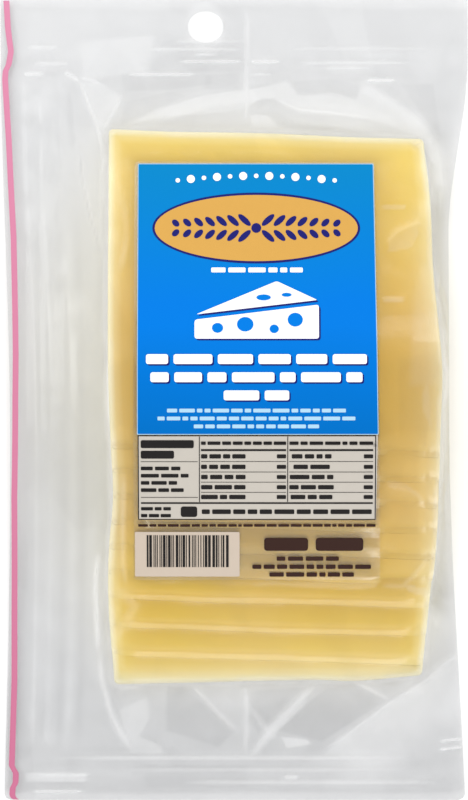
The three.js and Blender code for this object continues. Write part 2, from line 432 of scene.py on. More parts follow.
def make_slab():
    slab = bmesh.new()
    bmesh.ops.create_cube(slab, size=1.0)
    bmesh.ops.scale(slab, vec=(SLICE_SIDE, SLICE_SIDE, SLICE_THICKNESS), verts=slab.verts)
    upright = [e for e in slab.edges if abs(e.verts[0].co.z - e.verts[1].co.z) > 1]
    bmesh.ops.bevel(slab, geom=upright, offset=SLICE_CORNER, segments=5, profile=0.5,
                    affect="EDGES", material=-1)
    rims = [e for e in slab.edges if abs(e.verts[0].co.z - e.verts[1].co.z) < 0.01]
    bmesh.ops.bevel(slab, geom=rims, offset=SLICE_RIM, segments=2, profile=0.5,
                    affect="EDGES", material=-1)
    half = SLICE_SIDE / 2
    border = half - SLICE_RIM - 0.2  # a narrow outer row keeps the rounded shading at the very rim
    cuts = [*np.linspace(-half, half, round(SLICE_SIDE / SLICE_CELL) + 1)[1:-1], -border, border]
    cut_in_cells(slab, cuts, cuts)
    return slab


slab = make_slab()
print("master slab:", len(slab.faces), "faces")

# %% [markdown]
# Light on the slices. It enters the cheese only at the stack's outline, which glows there. It is dimmer
# just below the lip of the slice above, and close to the label, which stands a little off the cheese.
# This light and shade is painted into the four attributes that the finish reads, together with a painted
# highlight along each lip and painted light from below where few slices lie.

# %% Light on the slices
LABEL_LEFT, LABEL_RIGHT, LABEL_TOP, LABEL_BOTTOM = -29.3, 42.4, 72.2, -54.4
STEP_SHADE, LABEL_SHADE = 0.34, 0.5
CLEAR_FOOT, CLEAR_FOOT_LIGHT = -35.0, 0.7  # from there down the label is clear, and lets this much light in


def open_edge_distance(across, x, y):
    """Distance in from the stack's outline, the only place where light enters from the side."""
    below_top = slice_top_edge(0, x) - y
    above_bottom = y - slice_low_edge(SLICES - 1, x)
    nearest_end = np.minimum(below_top, 0.5 * above_bottom)  # light reaches further into the thin end
    return np.maximum(np.minimum(SLICE_SIDE / 2 - np.abs(across), nearest_end), 0)


def label_distance(x, y):
    across = np.maximum(LABEL_LEFT - x, x - LABEL_RIGHT)
    along = np.maximum(LABEL_BOTTOM - y, y - LABEL_TOP)
    return np.hypot(np.maximum(across, 0), np.maximum(along, 0))


def shade_slice(one, index, flat, bent, faint):
    """Fills in the attributes of a slice, from its places in the slab and in the bag."""
    (x, y, level), (new_x, new_y) = flat, bent
    half = SLICE_SIDE / 2
    inside = open_edge_distance(x, new_x, new_y)
    # The painted glow where light enters at the stack's outline, weaker and wider at the right side.
    right_side = ease((x - 20) / 20) * ease((64 - np.abs(new_y)) / 12)
    glow = (0.8 - 0.5 * right_side) * np.exp(-(inside / (1.8 + 1.2 * right_side)) ** 1.5)
    glow *= 1 - 0.4 * np.exp(-(inside / 0.5) ** 2)
    edge_glow = glow + (0.26 + 0.14 * right_side) * np.exp(-inside / 7)
    # The cut sides get the full painted glow.
    wall = (level < 0.8) & (half - np.abs(x) < 0.1)  # the cut sides are pale
    add_attribute(one, "edge_glow", np.where(wall, 1, np.clip(edge_glow, 0, 1)))
    # A painted highlight along the slice's lower edge, faint where the film hides the lips.
    add_attribute(one, "lip_highlight", np.exp(-((y + half) / 3.6) ** 2) * (1 - faint))
    # Painted light from below: the fewer slices lie there, the lighter the cheese.
    add_attribute(one, "depth", stack_depth(new_x, new_y))
    above_edge = slice_low_edge(index - 1, new_x) if index else np.full_like(x, 1e3)
    step_shade = STEP_SHADE * np.exp(-np.maximum(above_edge - new_y, 0) / 3.4) * (level > 0.5)
    step_shade *= 1 - faint
    label_shade = LABEL_SHADE * np.exp(-(label_distance(new_x, new_y) / 5.0) ** 1.3)
    label_shade *= 1 - CLEAR_FOOT_LIGHT * ease((CLEAR_FOOT - new_y) / 3)
    add_attribute(one, "lee", np.clip(np.maximum(step_shade, label_shade), 0, 1))


print("label", round(LABEL_RIGHT - LABEL_LEFT, 1), "by", round(LABEL_TOP - LABEL_BOTTOM, 1), "mm")

# %% [markdown]
# Now the slab is copied and bent ten times. A cut edge is never straight, so each one wanders a little,
# its lower end slants and thins to a lip, and the last one is torn at its right. The film presses each
# lip a trace into the slice below it. Beside the label the film is drawn smooth, and the lips nearly
# vanish there.

# %% Slices
EDGE_SLANT, LAST_SLANT = 2.1, 0.9
LIP_LENGTH, LIP_TAPER, LAST_TAPER = 3.8, 0.35, 0.1  # how far up a slice thins to its lip, and by how much
LABEL_SLICES = 6  # so many slices end beside the label, where the film is drawn smooth over them
LABEL_MIDDLE, LABEL_REACH = 6.5, 33  # a lip further from the middle lies beside the label
SUNK_EDGE, SUNK_SHARE = 0.16, 0.7  # how deep a lip is pressed in beside the label, and its share elsewhere
TORN = 0.55


def bend_slice(slab, index):
    one = slab.copy()
    x, y, z = places(one).T
    wander = np.array([noise.noise(Vector((a * 0.035, b * 0.035, index * 7.3))) for a, b in zip(x, y)])
    edge_wave = 0.5 * wander * ease((np.maximum(np.abs(x), np.abs(y)) - 40) / 9)
    if index == SLICES - 1:  # the last slice's free edge is torn a little at its right
        edge_wave += TORN * ease((x - 8) / 18) * np.sin((x + 9) / 7.5) * ease((-y - 40) / 9)
    half = SLICE_SIDE / 2
    inward = half - np.abs(x)
    beside_label = ease((np.abs(x + STACK_X - LABEL_MIDDLE) - LABEL_REACH) / 6) * (index < LABEL_SLICES)
    faint = np.maximum(beside_label, 0.9 * (1 - ease(inward / 10)))  # where film hides the lips
    lip_length = LIP_LENGTH * (1 + 1.4 * faint)
    near_end = np.clip((lip_length - y - half) / lip_length, 0, 1)
    low_edge = near_end ** 1.6
    level = z / SLICE_THICKNESS + 0.5
    slanted = (EDGE_SLANT if index < SLICES - 1 else LAST_SLANT) * near_end * level
    longer = LOW_SHIFTS[index] * ease(0.5 - y / SLICE_SIDE)
    new_y = y + edge_wave + slanted + longer + slice_top_edge(index, x + STACK_X) - half
    tucked = np.clip(slice_underside(index, x + STACK_X, new_y) / 8, 0.2, 1)
    pull_right = side_pull(STACK_RIGHT, new_y, STACK_X + half)
    pull_right = np.where(pull_right > 0, pull_right * tucked, pull_right)
    pull_left = side_pull(STACK_LEFT, new_y, STACK_X - half)
    pull = ease(x / half) * pull_right, ease(-x / half) * pull_left
    new_x = x * (1 + 0.003 * wander) + STACK_X + pull[0] + pull[1]
    under = slice_underside(index, new_x, new_y)
    taper = (LIP_TAPER if index < SLICES - 1 else LAST_TAPER) + 0.6 * faint
    new_z = under + (z + SLICE_THICKNESS / 2) * (1 - taper * low_edge)
    if index < SLICES - 1:
        new_z -= SUNK_EDGE * np.maximum(beside_label, SUNK_SHARE) * ease((0.9 - y - half) / 0.9)
    for vert, spot in zip(one.verts, zip(new_x, new_y, new_z)):
        vert.co = spot
    shade_slice(one, index, (x, y, level), (new_x, new_y), faint)
    return one


slices = [as_piece(bend_slice(slab, index), f"slice_{index + 1:02d}", cheese)
          for index in range(SLICES)]
slab.free()
slices_top = cast_map([surface_tree(piece) for piece in slices], True)
print("slices:", len(slices), "of", len(slices[0].data.polygons), "faces, top at",
      round(np.nanmax(slices_top), 2), "mm")

# %% [markdown]
# The front film is a stretched skin. Between the seals it hangs from the lips of the slices, so the
# map of the slices is smoothed while it stays above them. The label is stiffer and spans several lips,
# so the map under it is smoothed for much longer. Outside the stack the film follows the CAD solid.

# %% Where the film lies
FILM_GAP = 0.12  # between film and cheese, and from film to film in the seals
SLACK = 0.28  # loose film lies so far under the CAD solid's front
SKIN_PASSES, CLING_PASSES, SPAN_PASSES = 400, 14, 90  # how often each map is evened out
covered = ~np.isnan(slices_top)
stack_share = smoothed(covered.astype(float), 2)  # 1 over the stack, and 0 beside it
half_gap = (cad_front - cad_back) / 2
loose_front = cad_front - np.minimum(SLACK, np.maximum(half_gap - FILM_GAP, 0))
film_floor = np.where(covered, np.nan_to_num(slices_top) + FILM_GAP, -1.0)
film_floor = np.max(neighbours(film_floor), axis=0)  # it reaches a little past each slice's edge
held = film_floor > 0
stretched = smoothed(np.where(held, film_floor, loose_front), SKIN_PASSES, film_floor)
free = ease((rim_distance(MAP_X, MAP_Y) - 4) / 10)
clinging = smoothed(np.where(held, film_floor, stretched), CLING_PASSES, film_floor)
clinging = np.maximum(smoothed(clinging, 6) + FILM_GAP * held, film_floor)
front_map = smoothed(clinging * free + loose_front * (1 - free), 3, film_floor)
spanned = smoothed(np.where(held, film_floor, loose_front), SPAN_PASSES, film_floor)
under_label = ease(1.2 - label_distance(MAP_X, MAP_Y) / 3)
front_map = np.maximum(front_map * (1 - under_label) + spanned * under_label, film_floor)
lift_back = 0.02 + 0.26 * ease(cad_back / 1.0)
back_map = np.minimum(smoothed(cad_back, 10) + lift_back, front_map - 2 * FILM_GAP)
print("film front up to", round(front_map.max(), 2), "mm")

# %% [markdown]
# Creases. A stretched film shows sharp little ridges that start at the corners of what it holds, and at
# its seals. Each is a route of a few points with a height and a width, tapered at both ends. Its section
# is a tent with a sharp top, because two flat facets of film meet there and the light changes on one
# clear line. Beside some of them lies a flat facet, which is painted lighter or duller than the film round
# it, as painted light and shade, and so are the larger facets in a list of their own. A painted light band
# lies where the film is stretched over the stack's upper edge. Each place gets two values:
# `haze_and_highlight` is how much light the film scatters there, which is partly its milkiness and partly
# painted highlight, and `tone` is how dull it is, from 0 for quite clear, with the painted light and shade
# in it.

# %% Table of creases
# Route, height, half-width and haze of each, partly painted highlight, then the width and the tone of the
# facet beside it, which is painted light below 0 and painted shade above 0. The facet lies at the route's
# left side, or at its right where the width is below 0.
CREASES = [
    ([(-35.2, 84), (-23.6, 88.6), (-7.7, 93), (4.2, 94.5), (16.5, 96.5)], 0.5, 0.7, 0.1, 0, 0),
    ([(5.1, 91.2), (10.4, 92.6), (19.6, 88.4), (38.1, 86.5), (50, 83.2), (60.1, 79.2)],
     0.7, 0.7, 0.1, 0, 0),
    ([(37.2, 98.5), (42.1, 96.2), (47.6, 92.6), (55, 87.2), (61.9, 78.9)], 0.8, 0.7, 0.25, 0, 0),
    ([(58, 84.2), (61.9, 78.9), (63.4, 74), (64.6, 63)], 0.6, 0.8, 0.3, -4, -0.5),
    ([(4, 122), (3.8, 104.4), (3.7, 82.6)], 0.2, 0.5, 0.45, 0.8, -0.4),
    ([(-52.6, 100.4), (-49.7, 99.5), (-47.1, 97.4)], 0.2, 0.5, 0.7, 0, 0),
    ([(-47.4, 98.9), (-44, 98.2), (-40.6, 96.6)], 0.2, 0.5, 0.6, 0, 0),
    ([(-49, 101), (-47.1, 97.4), (-43.9, 89), (-41.6, 83.5), (-40.2, 75.2), (-39.8, 64)],
     0.3, 0.55, 0.5, 0, 0),
    ([(-34, 95.2), (-34.9, 92.6), (-36.8, 88.6), (-40, 83), (-41, 78)], 0.3, 0.55, 0.45, 0, 0),
    ([(-50, 96), (-49.4, 86), (-48.2, 76)], 0.2, 1.2, 0, -2.6, 0.5),
    ([(-47.3, 79.8), (-46.5, 69.8), (-44.7, 60.5), (-42.8, 53.1), (-39.9, 43)], 0.4, 0.6, 0.2, -0.9, 0.8),
    ([(-40.8, 77.8), (-40.6, 61.4), (-40.2, 41.8)], 0.3, 0.6, 0.3, 0.8, 0.4),
    ([(-41.4, -44.5), (-42.4, -58.3), (-41.4, -79.8)], 0.5, 0.7, 0.6, -1.5, -0.5),
    ([(-41.6, -76), (-41.1, -84.7), (-37.9, -96.9), (-31.6, -108.4)], 0.5, 0.6, 0.35, 1.4, -0.6),
    ([(-39, -88.7), (-35.4, -98), (-30.6, -108.4)], 0.2, 0.5, 0.1, 1, 0.5),
    ([(-15, -85.4), (-12.3, -88.2), (-5.9, -95.1), (2, -103)], 0.3, 0.6, 0.3, 0.9, -0.4),
    ([(3.2, -86.4), (3.6, -90), (3.8, -98), (3.6, -110.2)], 0.3, 0.5, 0.4, 0.8, -0.4),
    ([(27.6, -86.6), (23.4, -88.6), (11.5, -100.7), (3.4, -111.4)], 0.3, 0.6, 0.4, 1.6, -0.45),
    ([(24, -91), (18.3, -95.7), (11.9, -102), (5, -110.5)], 0.2, 0.55, 0.3, 0, 0),
    ([(4.4, -93.6), (6, -95.7), (9.2, -100.3), (14, -105)], 0.2, 0.55, 0.35, 0.9, 0.3),
    ([(35.3, -86), (37.3, -86.6), (41.8, -88.7), (48.3, -92.5)], 0.3, 0.6, 0.4, -1, -0.4),
    ([(70, -79.4), (48.2, -92.8), (25.1, -109.9)], 0.3, 0.65, 0.45, 22, -0.45),
    ([(69.3, -77.6), (56.4, -88)], 0.2, 0.55, 0.4, 0, 0),
    ([(62.6, -104.7), (70.6, -103.9)], 0.2, 0.3, 1, 0, 0),
    ([(62.6, -107.4), (70.6, -106.4)], 0.2, 0.3, 1, 0, 0),
    ([(-33.4, -20), (-33.8, -36), (-34, -50), (-32.5, -59)], 0.4, 0.8, 0.25, 1.6, -0.3),
    ([(-36, -16), (-35.8, -34), (-36.6, -50), (-37, -58)], 0.3, 0.9, 0.1, 1.6, 0.4),
    ([(52.9, 80.4), (57.4, 77.7), (59.3, 72.4), (60, 62.6)], 0.3, 0.7, 0.5, -1.8, 0.3),
    ([(46, 46), (50, 51), (55.8, 53.5), (58, 52)], 0.3, 0.8, 0.15, 0, 0),
    ([(43.9, 30.4), (52.5, 30.4)], 0.15, 0.5, 0.3, 0, 0),
    ([(44.7, -24.6), (52.1, -26.2), (56.2, -29.1), (58.3, -33.2)], 0.3, 0.8, 0.2, -2, 0.2),
    ([(43, -56.5), (51.5, -57), (55, -53.5), (61, -46)], 0.3, 0.8, 0.2, 0, 0),
    ([(-38.4, 71.5), (-35.3, 64.2), (-32.5, 58.6), (-31.6, 49.4), (-34.5, 36)], 0.3, 0.8, 0.1, -3, -0.3),
    ([(-36.4, -55.6), (-34.4, -57.4), (-30.7, -61.1), (-29.2, -62.9), (-31.6, -67.5), (-37.2, -76.2)],
     0.25, 0.9, 0.1, -3.6, -0.3),
]
print(len(CREASES), "creases")

# %% [markdown]
# The larger facets are flat fields with straight edges, such as the sides of a fold, each with painted
# light or painted shade in its tone. The painted light band is given by its upper and its lower line, and
# the seals by the short lines that are pressed into them, whose white haze is partly painted highlight.

# %% Table of facets and seal lines
# A tone below 0 is painted light and above 0 painted shade, and the haze is partly painted highlight.
FACETS = [  # corners, tone, haze, and how softly it ends
    ([(-21.5, 110.5), (3.6, 110.5), (3.6, 101), (-26, 101)], 0.25, 0, 0.8),
    ([(-8.6, 99.6), (1.5, 100.6), (1.5, 95.4), (-9.5, 95.4)], 0.3, 0, 0.8),
    ([(43.6, 96.8), (61.2, 97), (63.4, 79.8), (60.4, 84)], 0.35, 0, 0.8),
    ([(-46.8, 110), (-24, 112), (-28, 101), (-46.8, 98)], -0.3, 0, 1.6),
    ([(-34.6, 99.8), (-7, 100), (-7, 95.6), (-20, 95.2), (-33.6, 93.4)], 0.35, 0, 0.6),
    ([(-33.9, 91.4), (-19.6, 94.6), (-14.4, 93.4), (-25.8, 88.2), (-34.6, 84.6)], 0.35, 0, 0.6),
    ([(-46.6, 97.6), (-39.6, 97), (-35, 93), (-36.2, 90), (-40.9, 83.2), (-43.9, 89.2)], -0.3, 0, 0.6),
    ([(18.2, 97.8), (19.8, 93.8), (37.3, 92.6), (38.8, 96.4), (31, 98.6)], 0.3, 0, 0.6),
    ([(4.9, 87.5), (10.4, 87.5), (13.8, 83.5), (5.5, 83.8)], -0.35, 0, 0.6),
    ([(-20.6, -87.7), (-12.3, -88.2), (0.5, -101.5), (-4.9, -106.5), (-20.8, -101.5)], 0.58, 0, 1.2),
    ([(5.1, -89.4), (21.7, -88.1), (7.6, -102.3), (4.6, -98)], 0.4, 0, 0.6),
    ([(13.4, -101.5), (27.9, -88.7), (36.3, -86.9), (47.3, -91.9), (27.1, -104.8)], 0.6, 0, 0.9),
    ([(-35.2, -95.1), (-26.5, -91.2), (-26, -97.8), (-32.4, -108.4)], -0.35, 0, 0.7),
    ([(-26, -97.8), (-22.4, -106.1), (-16.9, -108.4), (-32.4, -108.4)], -0.35, 0, 0.7),
    ([(14.3, -103.3), (22.5, -104.2), (23.9, -105.6), (16.1, -107)], -0.5, 0.1, 0.6),
    ([(-64, -114.3), (-45.3, -114.6), (-45.3, -117.2), (-64, -117.2)], -0.5, 0.15, 0.6),
    ([(-27, -112), (4, -112), (4, -119), (-27, -119)], 0.3, 0, 0.8),
    ([(43.5, 59.6), (52.5, 59.6), (52.5, 58), (43.5, 58)], 0, 0.18, 0.5),
    ([(46.7, 44.8), (47.2, 48.1), (49.2, 49.8), (55.8, 53.5), (56.6, 51), (54.1, 46.5)], 0, 0.14, 0.5),
    ([(52.9, 80.4), (56.8, 76.6), (59.6, 70), (60.4, 65), (62.5, 65), (61, 80.4)], 0.25, 0.4, 0.6),
    ([(57, 40.7), (61.2, 42.4), (63.2, 28.4), (64, 4), (53, 4), (54.4, 30.6)], 0, 0.1, 4),
    ([(57, 2), (59, 9), (60, -9), (57, -3)], 0, 0.14, 2),
    ([(51, -56), (60.9, -58), (58.8, -60.4), (53.5, -58.7)], 0, 0.2, 0.5),
]
TAUT_BAND_TOP = [(-35.6, 83.2), (-23.6, 88.9), (-16.9, 91), (-5.8, 94), (5.8, 95.3), (11.1, 96.7),
                 (16.9, 97.9), (19.6, 93.5), (30.7, 94.4), (37.5, 92.1), (39, 96.2), (42.1, 96.2),
                 (47.6, 92.6), (55, 87.2), (59.6, 82.9), (62.4, 78)]
TAUT_BAND_FOOT = [(-35.6, 83.2), (-26, 86), (-18, 87), (0, 88.7), (4.9, 90.3), (8.3, 92.5),
                  (12.3, 92.5), (19.6, 88.4), (27.4, 87.7), (41, 86.3), (50.2, 83.2), (58.9, 79.7),
                  (62.4, 78)]
# How much clearer the light band is painted, as painted light.
TAUT_BAND_LIGHT = -0.42
SEAL_LINES = [  # from x, to x, y
    (-19.6, 4.3, 110.2), (-28, 4.3, 107.6), (-12.3, -4.3, 106.1), (-18.1, 4.3, 103.9),
    (-34.4, -10.4, 99.9), (4.9, 11.7, 99.9), (13.8, 60.8, 107.9), (4.3, 15, 103.8),
    (17.8, 56.8, 103.5), (27, 42, 101.9), (40.2, 50, 98.1), (-64.2, -53.4, 108.1),
    (-65, -58, 100.1), (-62, -50, 103.2), (-60, 62, -109.9), (-40, 60, -113.6),
    (-62, -43, -115), (15, 20, -115.9), (-20, 66, -117.3), (-63, -45, -120.2),
]
SEAL_LINE_HEIGHT, SEAL_LINE_WIDTH = 0.13, 0.34
print(len(FACETS), "facets and", len(SEAL_LINES), "seal lines")

# %% [markdown]
# A crease is drawn by its distance from the nearest part of its route, and a facet by the distance in
# from its straight edges. The film is also crushed all over in small facets, which are seeded: each
# place belongs to the nearest of many drawn middles, as in a pattern of cells.

# %% Ridges and facets
FACET_EDGE = 0.6


def ridge(x, y, route, half_width):
    """Each place's share of the ridge's height, and its signed distance from the route."""
    route = np.array(route, float)
    lengths = np.hypot(*np.diff(route, axis=0).T)
    passed = np.concatenate([[0], np.cumsum(lengths)])
    nearest = np.full(np.shape(x), 1e9)
    share, sign = np.zeros(np.shape(x)), np.ones(np.shape(x))
    for start, end, length, before in zip(route, route[1:], lengths, passed):
        way = (end - start) / length
        along = np.clip((x - start[0]) * way[0] + (y - start[1]) * way[1], 0, length)
        distance = np.hypot(x - start[0] - along * way[0], y - start[1] - along * way[1])
        closer = distance < nearest
        nearest = np.where(closer, distance, nearest)
        share = np.where(closer, (before + along) / passed[-1], share)
        sign = np.where(closer, np.sign(way[0] * (y - start[1]) - way[1] * (x - start[0])), sign)
    fade = ease(share * 5) * ease((1 - share) * 5)
    return np.exp(-np.hypot(nearest, 0.1) / half_width) * fade, nearest * sign, fade


def field_noise(x, y, length, seed):
    """Smooth seeded noise, about -1 to 1, with bumps of about that length."""
    return np.array([noise.noise(Vector((a / length, b / length, seed)))
                     for a, b in zip(np.ravel(x), np.ravel(y))]) * 1.6


def base_tone(y):
    """The film looks a little duller towards the bottom, where less light falls on it."""
    return 0.55 - 0.2 * y / 105


def crushed(x, y):
    """Small seeded facets all over, each a little lighter or duller, from -1 to 1."""
    draw = random.Random(21)
    middles = [(draw.uniform(-72, 72), draw.uniform(-123, 123)) for _ in range(170)]
    nearest, value = np.full(np.shape(x), 1e9), np.zeros(np.shape(x))
    for at_x, at_y in middles:
        away = np.hypot(1.5 * (x - at_x + 0.25 * (y - at_y)), y - at_y)
        value = np.where(away < nearest, draw.uniform(-1, 1), value)
        nearest = np.minimum(nearest, away)
    return value


def facet_share(x, y, corners, soft):
    """1 inside a facet with straight edges, and 0 outside it."""
    corners = np.array(corners, float)
    following = np.roll(corners, -1, axis=0)
    turn = np.sign(np.sum(corners[:, 0] * following[:, 1] - following[:, 0] * corners[:, 1]))
    inside = np.full(np.shape(x), 1e9)
    for (ax, ay), (bx, by) in zip(corners, following):
        across = ((bx - ax) * (y - ay) - (by - ay) * (x - ax)) / math.hypot(bx - ax, by - ay)
        inside = np.minimum(inside, turn * across)
    return ease(inside / soft + 0.5)

# %% [markdown]
# All creases and facets now come together in one height, one haze and one tone for each place. A facet
# that is painted lighter than the film round it also gets a share of white haze, which lightens it further.

# %% Creases
CREASE_STRENGTH = 0.75
CREASED_TONE = 0.14
# The share of white haze that lightens a facet with painted light further.
FACET_HAZE = 0.45
DULLEST = 1.5  # the tone at which the film lets least light through


def taut_band(x, y):
    """1 in the painted light band of film stretched over the stack's upper edge, and 0 outside it."""
    top, foot = np.array(TAUT_BAND_TOP).T, np.array(TAUT_BAND_FOOT).T
    inside = np.minimum(np.interp(x, *top) - y, y - np.interp(x, *foot))
    ends = ease((x - foot[0][0]) / 6) * ease((foot[0][-1] - x) / 2)
    return ease(inside / (1.4 * FACET_EDGE) + 0.5) * ends


def creased(x, y):
    """The ridges' height, white haze and tone at each place, with painted highlight, light and shade in
    them.
    """
    height, haze_and_highlight, tone = np.zeros(len(x)), np.zeros(len(x)), base_tone(y)
    for route, rise, half_width, scatter, facet, shade in CREASES:
        profile, side, fade = ridge(x, y, route, half_width)
        height += CREASE_STRENGTH * rise * profile
        haze_and_highlight = np.maximum(haze_and_highlight, scatter * profile)
        if facet:
            away = side * math.copysign(1, facet)
            within = ease(away / FACET_EDGE + 0.5) * ease((abs(facet) - away) / (0.7 * abs(facet)))
            tone += shade * within * fade
            haze_and_highlight = np.maximum(haze_and_highlight, -FACET_HAZE * shade * within * fade)
    for corners, shade, scatter, soft in FACETS:
        share = facet_share(x, y, corners, soft)
        tone += shade * share
        haze_and_highlight = np.maximum(haze_and_highlight, np.maximum(scatter, -FACET_HAZE * shade) * share)
    band = TAUT_BAND_LIGHT * taut_band(x, y)
    tone += band
    haze_and_highlight = np.maximum(haze_and_highlight, -FACET_HAZE * band)
    draw = random.Random(3)
    # Seal lines get white haze, which is partly painted highlight.
    for low, high, at in SEAL_LINES:
        profile = ridge(x, y, [(low, at), (high, at)], SEAL_LINE_WIDTH)[0]
        height += SEAL_LINE_HEIGHT * profile
        haze_and_highlight = np.maximum(haze_and_highlight, draw.uniform(0.4, 1.0) * profile)
    return height, haze_and_highlight, tone + CREASED_TONE * crushed(x, y)

# %% [markdown]
# Film. A thin clear sheet lets most light through, mirrors a little of it, more so at a slant, and looks
# milky where it is creased. So the finish mixes a nearly colourless Transparent shader, dulled by `tone`,
# with a soft white one by `haze_and_highlight`, and with a glossy one by Fresnel and by `sheen`, which is
# low at the back. Besides the film's own dullness, `tone` holds painted light and painted shade, and the
# white one also paints highlights on creases, facets and seal lines. Two such sheets over the floor read
# as light grey.

# %% Film finish
FRESH_FILM, DULL_AND_SHADED_FILM = (0.994, 0.996, 0.998, 1.0), (0.838, 0.840, 0.844, 1.0)


def film_finish():
    finish = Finish("clear_film")
    ripple = finish.bump(finish.noise(160.0, 3.0, (1.0, 0.6, 1.0)), 0.1, 0.0012)
    # The tone dulls the film, and also holds its painted light and painted shade.
    tint = finish.mix(finish.attribute("tone"), FRESH_FILM, DULL_AND_SHADED_FILM)
    clear = finish.add("BsdfTransparent", Color=tint)
    # White scatter, partly the film's milkiness and partly painted highlight.
    milky_and_highlight = finish.add("BsdfDiffuse", Color=(0.9, 0.9, 0.9, 1.0), Normal=ripple)
    mirror = finish.add("BsdfGlossy", Color=(1.0, 1.0, 1.0, 1.0), Roughness=0.16, Normal=ripple)
    cloud = finish.span(finish.noise(28.0, 3.0), 0.35, 0.7, 0.0, 0.03)
    haze_and_highlight = finish.maths("MAXIMUM", cloud, finish.maths("MULTIPLY", finish.attribute("haze_and_highlight"), 0.55))
    body = finish.blend(haze_and_highlight, clear, milky_and_highlight)
    fresnel = finish.add("Fresnel", IOR=1.42, Normal=ripple).outputs[0]
    gloss = finish.maths("MULTIPLY", fresnel, finish.attribute("sheen"))
    return finish.shade(finish.blend(gloss, body, mirror))


clear_film = film_finish()

# %% [markdown]
# The bag is one closed skin. A fine grid makes its front and a coarser one its back. Both are fitted
# between the side edges, with their rows and columns closer together where the creases are finest, and
# both get the round hang hole.

# %% Sheets of the bag
FRONT_CELLS, BACK_CELLS = (212, 358), (104, 172)
DENSE_COLUMNS = [(0.94, 0.035, 1.8)]  # place across, reach, and how many times finer
DENSE_ROWS = [(0.08, 0.06, 1.6), (0.9, 0.05, 1.6)]


def spread_out(shares, dense):
    """Moves even shares of a side so that they lie closer together in the dense places."""
    even = np.linspace(0, 1, 2001)
    crowd = 1 + sum((times - 1) * np.exp(-((even - place) / reach) ** 2) for place, reach, times in dense)
    filled_up = np.concatenate([[0], np.cumsum((crowd[1:] + crowd[:-1]) / 2)])
    return np.interp(shares, filled_up / filled_up[-1], even)


def add_sheet(bm, cells):
    """A grid fitted to the bag's outline, with a round hole, as the list of its vertices."""
    made = bmesh.ops.create_grid(bm, x_segments=cells[0], y_segments=cells[1], size=1.0)["verts"]
    across, along = flat_places(made)
    y = (spread_out((along + 1) / 2, DENSE_ROWS) - 0.5) * PACK_HEIGHT
    x = left_edge(y) + spread_out((across + 1) / 2, DENSE_COLUMNS) * (right_edge(y) - left_edge(y))
    for vert, spot in zip(made, zip(x, y)):
        vert.co = (*spot, 0.0)
    own = set(made)
    inside = [f for f in {f for vert in made for f in vert.link_faces}
              if hole_reach(f.calc_center_median()) < 1]
    bmesh.ops.delete(bm, geom=inside, context="FACES")
    kept = [vert for vert in bm.verts if vert in own and vert.link_faces]
    for vert in kept:
        if vert.is_boundary and hole_reach(vert.co) < 1.6:
            reach = hole_reach(vert.co)
            vert.co.x = HOLE_X + (vert.co.x - HOLE_X) / reach
            vert.co.y = HOLE_Y + (vert.co.y - HOLE_Y) / reach
    return kept


def hole_reach(spot):
    """1 on the hang hole's rim, less inside it."""
    return math.hypot((spot[0] - HOLE_X) / HOLE_HALF_WIDTH, (spot[1] - HOLE_Y) / HOLE_HALF_HEIGHT)

# %% [markdown]
# The front takes its height from the map, the creases, the three ridges of the zip and a soft crumple,
# which is calmer over the cheese and in the seals. Its tone follows the zip's dark and light bands. It is
# also painted darker towards the open edges, where light gets in under the film: painted shade that
# evens out that light.

# %% Shape of the front
ZIP_INSETS = (8.0, 12.9, 19.0)  # from the bag's left edge to each ridge of the zip
ZIP_LOW, ZIP_HIGH = -108.0, 101.0
ZIP_HALF_WIDTH, ZIP_RISE = 0.9, 0.4
ZIP_TONE_TOP = 62  # the zip's bands fade out above it
ZIP_BANDS = [(8.2, 0.6, -0.4), (12.6, 0.8, -0.2), (16.4, 1.5, 0.3), (19.4, 1.2, -0.3), (22.3, 1.5, 0.4)]
CRUMPLE = 0.5
# How much painted shade the film gets near the open edges, which evens out the light that gets in under it
# there.
LEAK_SHADE = 0.4
STACK_RIM_HAZE = 0.35  # the film is creased white along the stack's outline
RIM_CALM = 5.0  # no crease or crumple at the very rim


def zip_profile(x, y):
    ends = ease((y - ZIP_LOW) / 4) * ease((ZIP_HIGH - y) / 4)
    ridges = [np.exp(-((x - left_edge(y) - inset) / (1.2 * ZIP_HALF_WIDTH)) ** 2) for inset in ZIP_INSETS]
    return np.max(ridges, axis=0) * ends


def light_leak(x, y):
    """Near an open edge light gets in under the film, the further the higher the film lies."""
    from_hole = np.hypot((x - HOLE_X) / HOLE_HALF_WIDTH, (y - HOLE_Y) / HOLE_HALF_HEIGHT) - 1
    reach = 0.4 + 1.1 * (sample(front_map, x, y) + sample(back_map, x, y)) / 2
    dark = [1 - np.exp(-np.maximum(away, 0) / reach)
            for away in (rim_distance(x, y), HOLE_HALF_WIDTH * from_hole)]
    return 1 - dark[0] * dark[1]


def zip_tone(x, y):
    """The zip's dark and light bands, by their distance from the bag's left edge."""
    inset = x - left_edge(y)
    bands = sum(shade * np.exp(-((inset - middle) / width) ** 2) for middle, width, shade in ZIP_BANDS)
    return bands * ease((y - ZIP_LOW) / 12) * ease((ZIP_TONE_TOP - y) / 25)


